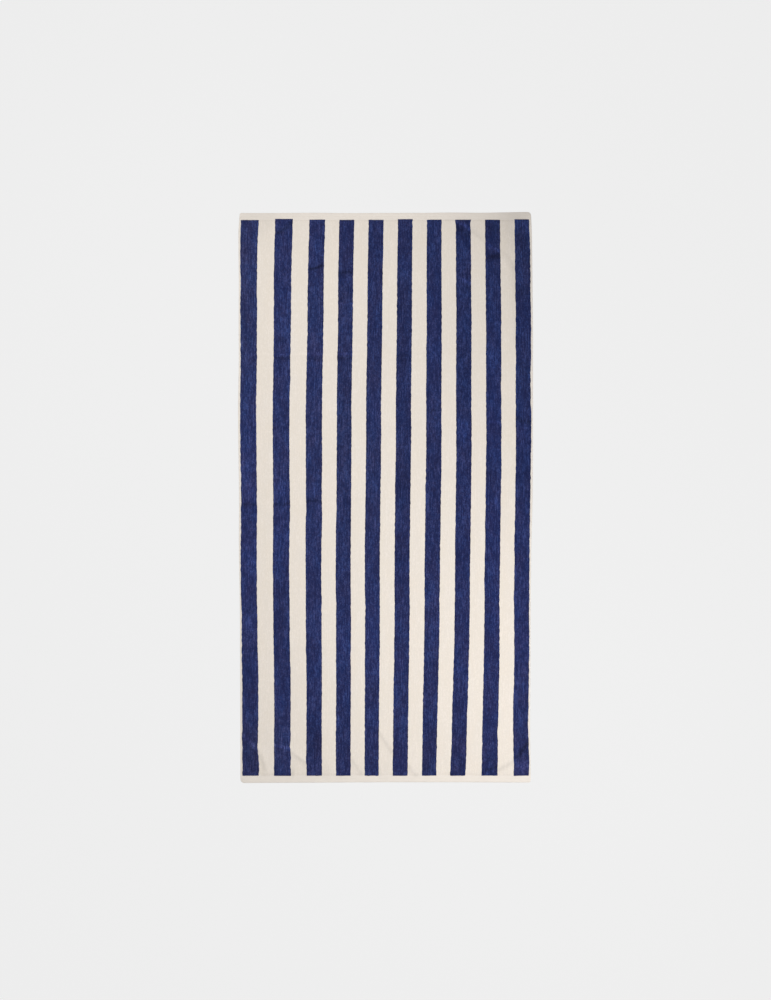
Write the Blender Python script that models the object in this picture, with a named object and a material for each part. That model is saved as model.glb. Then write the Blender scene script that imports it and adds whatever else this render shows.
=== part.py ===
import math
from bisect import bisect_right
from collections import namedtuple
from functools import cache

import bmesh
import bpy

# A striped beach towel of cotton terry that lies spread out flat, face up. Metres, +Z up.
# X runs across the towel and Y along it. The head end is at +Y, and the underside is at Z = 0.

TOWEL_LENGTH = 1.750
TOWEL_WIDTH = 0.900

PILE_HEIGHT = 0.0034  # ground cloth, back loops and sheared face together
END_HEM_HEIGHT = 0.0024  # plain-woven heading, turned under twice
SIDE_HEM_HEIGHT = 0.0027
END_HEM_WIDTH = 0.022
PILE_RISE = 0.0025  # distance over which the pile stands up behind a hem
RIM_HEIGHT = 0.0012  # upright part of the turned edge
RIM_INSET = 0.0009  # rounding of the turned edge above it
THINNEST = 0.0016  # cloth left under the deepest trough

STRIPE_CELLS = 3  # cells across each stripe and across each gap between stripes
END_LINE_STEP = 0.012  # spacing of the crosswise lines near the ends, where the creases are
END_ZONE = 0.110
BODY_LINE_STEP = 0.044  # spacing of the crosswise lines elsewhere
FOLD_SHOULDER = 0.009  # a press fold has a line at its middle and one at each shoulder

NAVY = (0.032, 0.040, 0.130, 1.0)
CREAM = (0.800, 0.735, 0.650, 1.0)
COTTON_ROUGHNESS = 0.95

# How far the long edges lie outside (+) or inside (-) half the width, along the towel.
SideStation = namedtuple("SideStation", "along left_out right_out")
SIDE_STATIONS = (
    SideStation(along=-0.875, left_out=-0.0045, right_out=-0.0055),
    SideStation(along=-0.702, left_out=-0.0032, right_out=-0.0064),
    SideStation(along=-0.469, left_out=-0.0030, right_out=-0.0048),
    SideStation(along=-0.236, left_out=-0.0005, right_out=-0.0045),
    SideStation(along=-0.003, left_out=-0.0007, right_out=0.0006),
    SideStation(along=0.260, left_out=0.0022, right_out=0.0020),
    SideStation(along=0.520, left_out=0.0005, right_out=0.0022),
    SideStation(along=0.812, left_out=0.0009, right_out=-0.0016),
    SideStation(along=0.875, left_out=-0.0030, right_out=-0.0045),
)

# How far the two ends lie outside or inside half the length, across the towel.
EndStation = namedtuple("EndStation", "across head_out foot_out")
END_STATIONS = (
    EndStation(across=-0.450, head_out=-0.0030, foot_out=0.0006),
    EndStation(across=-0.220, head_out=-0.0016, foot_out=-0.0002),
    EndStation(across=0.030, head_out=-0.0008, foot_out=-0.0013),
    EndStation(across=0.200, head_out=-0.0004, foot_out=-0.0027),
    EndStation(across=0.320, head_out=-0.0011, foot_out=-0.0022),
    EndStation(across=0.450, head_out=0.0006, foot_out=-0.0018),
)

Corner = namedtuple("Corner", "side end radius")
CORNERS = (
    Corner(side=-1, end=1, radius=0.004),
    Corner(side=1, end=1, radius=0.015),
    Corner(side=-1, end=-1, radius=0.012),
    Corner(side=1, end=-1, radius=0.005),
)

# Left and right edge of each navy stripe at four places along the towel.
STRIPE_STATIONS = (-0.84, -0.28, 0.28, 0.84)
Stripe = namedtuple("Stripe", "foot lower upper head")
STRIPES = (
    Stripe(foot=(-0.438, -0.390), lower=(-0.442, -0.394), upper=(-0.445, -0.397), head=(-0.444, -0.392)),
    Stripe(foot=(-0.341, -0.291), lower=(-0.344, -0.295), upper=(-0.345, -0.295), head=(-0.339, -0.286)),
    Stripe(foot=(-0.242, -0.196), lower=(-0.244, -0.197), upper=(-0.244, -0.195), head=(-0.234, -0.187)),
    Stripe(foot=(-0.152, -0.108), lower=(-0.152, -0.107), upper=(-0.149, -0.105), head=(-0.142, -0.097)),
    Stripe(foot=(-0.064, -0.022), lower=(-0.063, -0.018), upper=(-0.059, -0.014), head=(-0.052, -0.007)),
    Stripe(foot=(0.022, 0.067), lower=(0.028, 0.073), upper=(0.032, 0.078), head=(0.038, 0.082)),
    Stripe(foot=(0.112, 0.155), lower=(0.120, 0.166), upper=(0.125, 0.171), head=(0.127, 0.171)),
    Stripe(foot=(0.201, 0.246), lower=(0.213, 0.258), upper=(0.217, 0.263), head=(0.216, 0.261)),
    Stripe(foot=(0.295, 0.343), lower=(0.304, 0.350), upper=(0.309, 0.355), head=(0.306, 0.351)),
    Stripe(foot=(0.392, 0.438), lower=(0.395, 0.440), upper=(0.400, 0.446), head=(0.396, 0.442)),
)

# Press folds, left from the folded towel: three cross it at the quarters of its length, and one runs
# lengthwise near its middle. The slant is how far a fold drifts from one edge of the cloth to the other.
# A fold whose rise is under 0 is a trough, and its reach is how far to either side it has faded to a third.
PressFold = namedtuple("PressFold", "place slant rise reach")
CROSS_FOLDS = (
    PressFold(place=-0.458, slant=0.004, rise=0.0008, reach=0.007),
    PressFold(place=-0.014, slant=-0.003, rise=-0.0010, reach=0.006),
    PressFold(place=0.437, slant=0.002, rise=0.0010, reach=0.007),
)
LENGTH_FOLD = PressFold(place=0.011, slant=0.006, rise=-0.0007, reach=0.010)

# Soft creases, most of them round the corners. Each is a ridge along a smooth curve through three points.
Crease = namedtuple("Crease", "rise reach start middle end")
CREASES = (
    Crease(rise=0.0015, reach=0.010, start=(-0.433, -0.732), middle=(-0.388, -0.780), end=(-0.362, -0.840)),
    Crease(rise=0.0014, reach=0.010, start=(-0.340, -0.757), middle=(-0.280, -0.785), end=(-0.224, -0.831)),
    Crease(rise=0.0010, reach=0.009, start=(-0.105, -0.806), middle=(-0.095, -0.824), end=(-0.080, -0.843)),
    Crease(rise=0.0012, reach=0.009, start=(-0.019, -0.714), middle=(0.003, -0.751), end=(0.021, -0.778)),
    Crease(rise=0.0010, reach=0.009, start=(0.070, -0.812), middle=(0.079, -0.831), end=(0.095, -0.849)),
    Crease(rise=0.0014, reach=0.010, start=(0.303, -0.837), middle=(0.375, -0.815), end=(0.429, -0.757)),
    Crease(rise=0.0011, reach=0.008, start=(0.398, -0.849), middle=(0.420, -0.831), end=(0.438, -0.806)),
    Crease(rise=0.0009, reach=0.010, start=(0.312, 0.229), middle=(0.378, 0.226), end=(0.444, 0.215)),
    Crease(rise=0.0011, reach=0.009, start=(0.223, 0.681), middle=(0.242, 0.668), end=(0.260, 0.653)),
    Crease(rise=0.0016, reach=0.010, start=(0.217, 0.846), middle=(0.306, 0.782), end=(0.380, 0.705)),
    Crease(rise=0.0010, reach=0.012, start=(0.380, 0.705), middle=(0.395, 0.641), end=(0.401, 0.512)),
    Crease(rise=0.0011, reach=0.010, start=(-0.236, 0.699), middle=(-0.170, 0.708), end=(-0.102, 0.690)),
    Crease(rise=0.0011, reach=0.010, start=(-0.334, 0.815), middle=(-0.313, 0.828), end=(-0.292, 0.843)),
)
CREASE_RUNS = 8  # straight runs that a crease's curve is measured by

# Slow unevenness of the cloth as it lies. Across and along are a wave's lengths in those two directions.
LayWave = namedtuple("LayWave", "rise across along phase")
LAY_WAVES = (
    LayWave(rise=0.00022, across=0.31, along=0.83, phase=0.4),
    LayWave(rise=0.00018, across=-0.22, along=0.47, phase=2.1),
    LayWave(rise=0.00012, across=0.13, along=-0.29, phase=4.4),
)


def remove_everything():
    for thing in list(bpy.data.objects):
        bpy.data.objects.remove(thing)


def cotton(name, colour):
    material = bpy.data.materials.new(name)
    material.use_nodes = True
    material.diffuse_color = colour
    shader = material.node_tree.nodes["Principled BSDF"]
    shader.inputs["Base Color"].default_value = colour
    shader.inputs["Roughness"].default_value = COTTON_ROUGHNESS
    shader.inputs["Metallic"].default_value = 0.0
    return material


def smooth_through(places, values, at):
    # Value at a place on a smooth curve through the stations of a table.
    last = len(places) - 1
    i = min(max(bisect_right(places, at) - 1, 0), last - 1)
    t = (at - places[i]) / (places[i + 1] - places[i])
    before = values[max(i - 1, 0)]
    start = values[i]
    end = values[i + 1]
    after = values[min(i + 2, last)]
    slope = (end - before) * t
    bend = (2 * before - 5 * start + 4 * end - after) * t**2
    turn = (3 * start - before - 3 * end + after) * t**3
    return start + (slope + bend + turn) / 2


def smooth_step(share):
    share = min(max(share, 0.0), 1.0)
    return share * share * (3 - 2 * share)


def side_edges(along):
    places = [station.along for station in SIDE_STATIONS]
    left_out = smooth_through(places, [station.left_out for station in SIDE_STATIONS], along)
    right_out = smooth_through(places, [station.right_out for station in SIDE_STATIONS], along)
    return -TOWEL_WIDTH / 2 - left_out, TOWEL_WIDTH / 2 + right_out


def end_edges(across):
    places = [station.across for station in END_STATIONS]
    head_out = smooth_through(places, [station.head_out for station in END_STATIONS], across)
    foot_out = smooth_through(places, [station.foot_out for station in END_STATIONS], across)
    return -TOWEL_LENGTH / 2 - foot_out, TOWEL_LENGTH / 2 + head_out


def stripe_edges(stripe, along):
    left = smooth_through(STRIPE_STATIONS, [place[0] for place in stripe], along)
    right = smooth_through(STRIPE_STATIONS, [place[1] for place in stripe], along)
    return left, right


def divided(start, end, cells):
    # Places after start, up to and with end, in equal cells.
    return [start + (end - start) * step / cells for step in range(1, cells + 1)]


def column_places(along):
    # X of each lengthwise line, which follows the edges and the stripes.
    left, right = side_edges(along)
    stripes = [stripe_edges(stripe, along) for stripe in STRIPES]
    pile_left = stripes[0][0]
    pile_right = stripes[-1][1]
    places = [left, left + RIM_INSET, pile_left, pile_left + PILE_RISE]
    for start, end in stripes:
        if places[-1] < start:
            places += divided(places[-1], start, STRIPE_CELLS)
        places += divided(places[-1], end, STRIPE_CELLS)
    places[-1] = pile_right - PILE_RISE
    places += [pile_right, right - RIM_INSET, right]
    return places


def end_lines():
    # Distances of the crosswise lines from an end of the towel, from its edge to the end of its creased zone.
    lines = [0.0, RIM_INSET, END_HEM_WIDTH / 2, END_HEM_WIDTH, END_HEM_WIDTH + PILE_RISE]
    while lines[-1] + END_LINE_STEP < END_ZONE:
        lines.append(lines[-1] + END_LINE_STEP)
    return lines


def row_places():
    # Y of each crosswise line before the ends' own drift is added.
    half = TOWEL_LENGTH / 2
    foot_rows = [line - half for line in end_lines()]
    head_rows = [half - line for line in reversed(end_lines())]
    rows = foot_rows
    for fold in CROSS_FOLDS:
        shoulder = fold.place - FOLD_SHOULDER
        rows += divided(rows[-1], shoulder, round((shoulder - rows[-1]) / BODY_LINE_STEP))
        rows += [fold.place, fold.place + FOLD_SHOULDER]
    rows += divided(rows[-1], head_rows[0], round((head_rows[0] - rows[-1]) / BODY_LINE_STEP))
    return rows + head_rows[1:]


def rounded_corners(x, y, left, right, foot, head):
    # Draws a point near a corner in, so that the square corner becomes a quarter of a circle.
    for corner in CORNERS:
        side = right if corner.side > 0 else left
        end = head if corner.end > 0 else foot
        across = 1 - (side - x) * corner.side / corner.radius
        along = 1 - (end - y) * corner.end / corner.radius
        if across > 0 and along > 0:
            x = side - corner.side * corner.radius * (1 - across * math.sqrt(1 - along**2 / 2))
            y = end - corner.end * corner.radius * (1 - along * math.sqrt(1 - across**2 / 2))
    return x, y


def ridge(distance, reach):
    return math.exp(-((distance / reach) ** 2))


def fold_relief(x, y):
    middle = LENGTH_FOLD.place + LENGTH_FOLD.slant * y / TOWEL_LENGTH
    rise = LENGTH_FOLD.rise * ridge(x - middle, LENGTH_FOLD.reach)
    for fold in CROSS_FOLDS:
        line = fold.place + fold.slant * x / TOWEL_WIDTH
        rise += fold.rise * ridge(y - line, fold.reach)
    return rise


def distance_to_run(x, y, start, end):
    # From a point to the straight run between two points.
    run = (end[0] - start[0], end[1] - start[1])
    out = (x - start[0], y - start[1])
    share = (out[0] * run[0] + out[1] * run[1]) / (run[0] ** 2 + run[1] ** 2)
    share = min(max(share, 0.0), 1.0)
    return math.hypot(out[0] - share * run[0], out[1] - share * run[1])


@cache
def crease_curve(crease):
    # Points on the parabola from a crease's start, through its middle, to its end.
    points = []
    for run in range(CREASE_RUNS + 1):
        t = run / CREASE_RUNS
        weights = ((1 - t) * (1 - 2 * t), 4 * t * (1 - t), t * (2 * t - 1))
        through = (crease.start, crease.middle, crease.end)
        x = sum(weight * point[0] for weight, point in zip(weights, through))
        y = sum(weight * point[1] for weight, point in zip(weights, through))
        points.append((x, y))
    return points


def crease_relief(x, y):
    rise = 0.0
    for crease in CREASES:
        curve = crease_curve(crease)
        aside = min(distance_to_run(x, y, *run) for run in zip(curve, curve[1:]))
        rise += crease.rise * ridge(aside, crease.reach)
    return rise


def lay_relief(x, y):
    rise = 0.0
    for wave in LAY_WAVES:
        turns = x / wave.across + y / wave.along
        rise += wave.rise * math.sin(2 * math.pi * turns + wave.phase)
    return rise


def cloth_height(x, y, side_depth, end_depth):
    # The two depths are how far the point lies inside the pile, from the side hems and from the end hems.
    hem_height = SIDE_HEM_HEIGHT if side_depth < end_depth else END_HEM_HEIGHT
    pile_share = smooth_step(min(side_depth, end_depth) / PILE_RISE)
    height = hem_height + (PILE_HEIGHT - hem_height) * pile_share
    height += fold_relief(x, y) + crease_relief(x, y) + lay_relief(x, y)
    return max(height, THINNEST)


def cloth_point(across, along, on_edge):
    # The point of the upper surface for one place on the grid of lines.
    left, right = side_edges(along)
    foot, head = end_edges(across)
    y = foot + (head - foot) * (along / TOWEL_LENGTH + 0.5)
    pile_left = stripe_edges(STRIPES[0], along)[0]
    pile_right = stripe_edges(STRIPES[-1], along)[1]
    side_depth = min(across - pile_left, pile_right - across)
    end_depth = TOWEL_LENGTH / 2 - END_HEM_WIDTH - abs(along)
    z = RIM_HEIGHT if on_edge else cloth_height(across, y, side_depth, end_depth)
    return *rounded_corners(across, y, left, right, foot, head), z


def face_grid(mesh):
    # The upper surface, with one face for each cell between the lengthwise and the crosswise lines.
    lines = row_places()
    grid = []
    for along in lines:
        places = column_places(along)
        ends = (places[0], places[-1])
        at_end = along in (lines[0], lines[-1])
        grid.append([mesh.verts.new(cloth_point(x, along, at_end or x in ends)) for x in places])
    for lower, upper in zip(grid, grid[1:]):
        for column in range(len(lower) - 1):
            mesh.faces.new((lower[column], lower[column + 1], upper[column + 1], upper[column]))


def close_underside(mesh):
    # The edge goes straight down to the flat underside, which is one face.
    rim = [edge for edge in mesh.edges if edge.is_boundary]
    skirt = bmesh.ops.extrude_edge_only(mesh, edges=rim)["geom"]
    for item in skirt:
        if isinstance(item, bmesh.types.BMVert):
            item.co.z = 0.0
    foot_ring = [edge for edge in mesh.edges if edge.is_boundary]
    bmesh.ops.holes_fill(mesh, edges=foot_ring)
    bmesh.ops.recalc_face_normals(mesh, faces=mesh.faces)


def in_navy(x, y):
    edges = [stripe_edges(stripe, y) for stripe in STRIPES]
    return abs(y) < TOWEL_LENGTH / 2 - END_HEM_WIDTH and any(left < x < right for left, right in edges)


def colour_stripes(mesh):
    for face in mesh.faces:
        middle = face.calc_center_median()
        face.material_index = int(face.normal.z > 0.5 and in_navy(middle.x, middle.y))
        face.smooth = face.normal.z > 0.5


def build_towel():
    mesh = bmesh.new()
    face_grid(mesh)
    close_underside(mesh)
    colour_stripes(mesh)
    data = bpy.data.meshes.new("towel")
    mesh.to_mesh(data)
    mesh.free()
    data.materials.append(cotton("cream cotton", CREAM))
    data.materials.append(cotton("navy cotton", NAVY))
    towel = bpy.data.objects.new("towel", data)
    bpy.context.scene.collection.objects.link(towel)
    return towel


remove_everything()
build_towel()
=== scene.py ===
import math

import bmesh
import bpy
import numpy as np
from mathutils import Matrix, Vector, noise


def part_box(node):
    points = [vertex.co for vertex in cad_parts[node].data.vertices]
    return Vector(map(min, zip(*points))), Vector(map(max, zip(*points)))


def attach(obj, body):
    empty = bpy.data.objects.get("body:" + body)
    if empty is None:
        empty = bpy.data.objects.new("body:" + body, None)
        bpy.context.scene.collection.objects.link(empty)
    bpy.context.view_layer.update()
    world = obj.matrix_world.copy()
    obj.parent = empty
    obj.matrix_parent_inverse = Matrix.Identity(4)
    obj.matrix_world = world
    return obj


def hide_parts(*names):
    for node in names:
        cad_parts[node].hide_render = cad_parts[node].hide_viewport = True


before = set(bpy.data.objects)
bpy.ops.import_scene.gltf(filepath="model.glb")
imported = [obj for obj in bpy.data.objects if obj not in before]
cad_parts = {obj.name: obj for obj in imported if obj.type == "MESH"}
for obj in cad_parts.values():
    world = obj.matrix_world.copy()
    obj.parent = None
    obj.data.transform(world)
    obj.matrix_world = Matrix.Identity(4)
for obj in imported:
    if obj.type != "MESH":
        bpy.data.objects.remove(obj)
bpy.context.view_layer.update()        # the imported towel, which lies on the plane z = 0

# A striped beach towel, spread out flat and seen from straight above.
# x runs across it, y along it to the head end, z up through its face. Everything is in metres.

scene = bpy.context.scene
scene.view_settings.view_transform = "Standard"


# how the cloth lies
outline = {
    "width": 0.900,
    "length": 1.750,
    # how far the long sides lie outside half the width: place along them, left side, right side
    "sides": [
        (-0.875, -0.0053, -0.0055), (-0.702, -0.0047, -0.007), (-0.469, -0.004, -0.0058),
        (-0.31, -0.0032, -0.0053), (-0.15, -0.0006, -0.0034), (-0.003, -0.001, 0.0004),
        (0.26, 0.0022, 0.0016), (0.426, -0.0002, 0.0015), (0.52, 0.0004, 0.0015), (0.66, -0.0002, 0.0001),
        (0.812, 0.0011, -0.0018), (0.875, -0.003, -0.0045),
    ],
    # how far the ends lie outside half the length: place across them, foot end, head end
    "ends": [
        (-0.45, -0.0003, -0.003), (-0.33, -0.0011, -0.003), (-0.22, -0.0015, -0.0024),
        (-0.1, -0.0022, -0.0032), (0.03, -0.0027, -0.0026), (0.12, -0.0026, -0.0025), (0.2, -0.0027, -0.0015),
        (0.285, -0.0023, -0.0022), (0.34, -0.0021, -0.0015), (0.45, -0.0018, 0.0003),
    ],
    # corner radii at the left and the right
    "footCorners": (0.012, 0.006),
    "headCorners": (0.005, 0.0115),
}

relief = {
    # left by folding: rise under 0 is a trough, and the slant is a fold's drift from side to side
    "pressFolds": [
        dict(place=-0.458, slant=0.004, rise=0.0008, reach=0.007),
        dict(place=-0.014, slant=-0.003, rise=-0.0010, reach=0.006),
        dict(place=0.437, slant=0.002, rise=0.0010, reach=0.007),
    ],
    "lengthFold": dict(place=0.011, slant=0.006, rise=-0.0007, reach=0.010),
    # soft ridges: rise, reach, and the start, middle and end of the curve that each follows
    "creases": [
        (0.0015, 0.01, (-0.433, -0.732), (-0.388, -0.78), (-0.362, -0.84)),
        (0.0014, 0.01, (-0.34, -0.757), (-0.28, -0.785), (-0.224, -0.831)),
        (0.001, 0.009, (-0.105, -0.806), (-0.095, -0.824), (-0.08, -0.843)),
        (0.0012, 0.009, (-0.019, -0.714), (0.003, -0.751), (0.021, -0.778)),
        (0.001, 0.009, (0.07, -0.812), (0.079, -0.831), (0.095, -0.849)),
        (0.0014, 0.01, (0.303, -0.837), (0.375, -0.815), (0.429, -0.757)),
        (0.0011, 0.008, (0.398, -0.849), (0.42, -0.831), (0.438, -0.806)),
        (0.0009, 0.01, (0.312, 0.229), (0.378, 0.226), (0.444, 0.215)),
        (0.0011, 0.009, (0.223, 0.681), (0.242, 0.668), (0.26, 0.653)),
        (0.0016, 0.01, (0.217, 0.846), (0.306, 0.782), (0.38, 0.705)),
        (0.001, 0.012, (0.38, 0.705), (0.395, 0.641), (0.401, 0.512)),
        (0.0011, 0.01, (-0.236, 0.699), (-0.17, 0.708), (-0.102, 0.69)),
        (0.0011, 0.01, (-0.334, 0.815), (-0.313, 0.828), (-0.292, 0.843)),
    ],
    "creaseRuns": 8,
    # slow unevenness of the whole cloth: a wave's lengths across and along
    "layWaves": [
        dict(rise=0.00022, across=0.31, along=0.83, phase=0.4),
        dict(rise=0.00018, across=-0.22, along=0.47, phase=2.1),
        dict(rise=0.00012, across=0.13, along=-0.29, phase=4.4),
    ],
    "trough": 0.35,        # share of a trough that the ground cloth follows; the pile is pressed down
}

# heights in the cloth above the plane that it lies on
layers = {
    "backRoot": 0.00140,
    "groundUnder": 0.00120,
    "groundTop": 0.00175,
    "pileRoot": 0.00165,
    "face": 0.00340,
    "thinnest": 0.00160,
}


def smoothThrough(places, values, at):
    # a smooth curve through the rows of a table
    last = len(places) - 1
    i = np.clip(np.searchsorted(places, at, side="right") - 1, 0, last - 1)
    t = (at - places[i]) / (places[i + 1] - places[i])
    before = values[np.maximum(i - 1, 0)]
    start = values[i]
    end = values[i + 1]
    after = values[np.minimum(i + 2, last)]
    slope = (end - before) * t
    bend = (2 * before - 5 * start + 4 * end - after) * t**2
    turn = (3 * start - before - 3 * end + after) * t**3
    return start + (slope + bend + turn) / 2


def sideEdges(y):
    places, left, right = np.array(outline["sides"]).T
    half = outline["width"] / 2
    return -half - smoothThrough(places, left, y), half + smoothThrough(places, right, y)


def endEdges(x):
    places, foot, head = np.array(outline["ends"]).T
    half = outline["length"] / 2
    return -half - smoothThrough(places, foot, x), half + smoothThrough(places, head, x)


def ridge(distance, reach):
    return np.exp(-((distance / reach) ** 2))


def curveOf(line, runs):
    # points of the parabola through a line's start, middle and end
    t = np.linspace(0, 1, runs + 1)[:, None]
    start, middle, end = np.array(line)
    return (1 - t) * (1 - 2 * t) * start + 4 * t * (1 - t) * middle + t * (2 * t - 1) * end


def aside(curve, x, y):
    # distance of each place from a curve
    nearest = np.full(np.broadcast(x, y).shape, np.inf)
    for a, b in zip(curve, curve[1:]):
        run = b - a
        share = np.clip(((x - a[0]) * run[0] + (y - a[1]) * run[1]) / (run @ run), 0, 1)
        nearest = np.minimum(nearest, np.hypot(x - a[0] - share * run[0], y - a[1] - share * run[1]))
    return nearest


def clothRise(x, y):
    # how far the cloth's face stands above or below its even height
    fold = relief["lengthFold"]
    middle = fold["place"] + fold["slant"] * y / outline["length"]
    rise = fold["rise"] * ridge(x - middle, fold["reach"])
    for fold in relief["pressFolds"]:
        line = fold["place"] + fold["slant"] * x / outline["width"]
        rise = rise + fold["rise"] * ridge(y - line, fold["reach"])
    highest = np.zeros(np.broadcast(x, y).shape)
    for height, reach, *line in relief["creases"]:
        away = aside(curveOf(line, relief["creaseRuns"]), x, y)
        highest = np.maximum(highest, height * ridge(away, reach))
    rise = rise + highest
    for wave in relief["layWaves"]:
        turns = x / wave["across"] + y / wave["along"]
        rise = rise + wave["rise"] * np.sin(2 * math.pi * turns + wave["phase"])
    return rise


def groundRise(x, y):
    rise = clothRise(x, y)
    return np.where(rise > 0, rise, relief["trough"] * rise)


def backRise(x, y):
    return np.maximum(clothRise(x, y), 0)


def unevenness(x, y, size, seed):
    # smooth noise about 0, in patches of about that size across and along
    across, along = size
    x, y = np.broadcast_arrays(x, y)
    values = [noise.noise(Vector((a / across, b / along, seed))) for a, b in zip(x.flat, y.flat)]
    return np.reshape(values, x.shape)


def stations(start, end, step, fringe):
    # places from start to end, set closer near both ends, where a piece is rounded
    fringe = np.array(fringe)
    count = max(round((end - start - 2 * fringe[-1]) / step), 1)
    middle = np.linspace(start + fringe[-1], end - fringe[-1], count + 1)
    return np.concatenate([start + fringe[:-1], middle, end - fringe[-2::-1]])


# how each piece is laid out on its map
mapping = {
    "name": "OFBake",
    "endMargin": 0.008,
    "sideMargin": 0.014,
    "hidden": 0.06,        # share of the map's width that a hidden underside gets
}

# the cloth is shaded as an edge where it turns by more
sharpTurn = math.radians(75)


def facesAround(rows, columns, firstPoint):
    # faces between rings of points, and one at each end
    index = firstPoint + np.arange(rows * columns).reshape(rows, columns)
    around = np.hstack([index, index[:, :1]])
    quads = np.stack([around[:-1, :-1], around[:-1, 1:], around[1:, 1:], around[1:, :-1]], axis=-1)
    return quads.reshape(-1, 4).tolist() + [index[0][::-1].tolist(), index[-1].tolist()]


def runsOfMap(rings, runs, firstRun, allRuns, hiddenLast):
    # a long strip is laid out in several runs side by side, so that its pattern keeps its shape
    rows, columns = rings.shape[:2]
    middle = rings[rows // 2]
    sides = np.linalg.norm(np.roll(middle, -1, axis=0) - middle, axis=1)
    if hiddenLast:
        sides[-1] = mapping["hidden"] * sides.sum()
    across = np.concatenate([[0], np.cumsum(sides)]) / sides.sum()
    lengths = np.linalg.norm(np.diff(rings[:, columns // 3], axis=0), axis=1)
    along = np.concatenate([[0], np.cumsum(lengths)])
    breaks = np.searchsorted(along, np.linspace(0, along[-1], runs + 1))
    run = np.clip(np.searchsorted(breaks, np.arange(rows - 1), side="right") - 1, 0, runs - 1)
    low, high = along[breaks[run]], along[breaks[run + 1]]
    endMargin, sideMargin = mapping["endMargin"], mapping["sideMargin"]
    u = [endMargin + (1 - 2 * endMargin) * (along[k : rows - 1 + k] - low) / (high - low) for k in (0, 1)]
    u = [np.repeat(part[:, None], columns, axis=1) for part in u]
    v = sideMargin + (1 - 2 * sideMargin) * across
    v = [(firstRun + run[:, None] + v[None, k : columns + k]) / allRuns for k in (0, 1)]
    corners = ((u[0], v[0]), (u[0], v[1]), (u[1], v[1]), (u[1], v[0]))
    quads = np.stack([np.stack(corner, axis=-1) for corner in corners], axis=2)
    caps = []
    for ring, turned, side in ((rings[0], -1, 0), (rings[-1], 1, 1)):
        height = (ring[:, 2] - ring[:, 2].min()) / np.ptp(ring[:, 2])
        capU = side + (1 - 2 * side) * endMargin * height
        capRun = firstRun + (runs - 1) * side
        capV = (capRun + sideMargin + (1 - 2 * sideMargin) * across[:-1]) / allRuns
        caps.append(np.stack([capU, capV], axis=-1)[::turned])
    return np.concatenate([quads.reshape(-1, 2), *caps])


def newPiece(name, points, faces, materials):
    mesh = bpy.data.meshes.new(name)
    mesh.from_pydata(points.tolist(), [], faces)
    for material in materials:
        mesh.materials.append(material)
    piece = bpy.data.objects.new(name, mesh)
    scene.collection.objects.link(piece)
    return piece


def smoothOutside(mesh):
    # faces that point out, shaded smooth
    shell = bmesh.new()
    shell.from_mesh(mesh)
    bmesh.ops.recalc_face_normals(shell, faces=shell.faces)
    shell.to_mesh(mesh)
    shell.free()
    mesh.shade_smooth()


def clothPiece(name, strips, materials, runs, colour=None, tone=0.0, hiddenLast=False):
    # one piece from strips, each given by its rings of points and the number of its material
    points, faces, places, slots = [], [], [], []
    for number, (rings, slot) in enumerate(strips):
        rows, columns = rings.shape[:2]
        new = facesAround(rows, columns, sum(len(part) for part in points))
        faces += new
        slots += [slot] * len(new)
        places.append(runsOfMap(rings, runs, number * runs, len(strips) * runs, hiddenLast))
        points.append(rings.reshape(-1, 3))
    points = np.concatenate(points)
    piece = newPiece(name, points, faces, materials)
    mesh = piece.data
    mesh.polygons.foreach_set("material_index", slots)
    layer = mesh.uv_layers.new(name=mapping["name"])
    layer.uv.foreach_set("vector", np.concatenate(places).astype(np.float32).ravel())
    x, y = points[:, :2].T
    if colour:
        # the tone carries the marks' painted shade and painted highlight, and the stripe's own difference in
        # tone
        shadeAndNapTones = shadeAndNapMark(x, y, colour) + tone
        mesh.attributes.new("tone", "FLOAT", "POINT").data.foreach_set("value", shadeAndNapTones.astype(np.float32))
    if colour == "navy":
        tints = tintMark(x, y).astype(np.float32).ravel()
        mesh.attributes.new("tint", "FLOAT_VECTOR", "POINT").data.foreach_set("vector", tints)
    smoothOutside(mesh)
    mesh.set_sharp_from_angle(angle=sharpTurn)
    return piece
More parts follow.
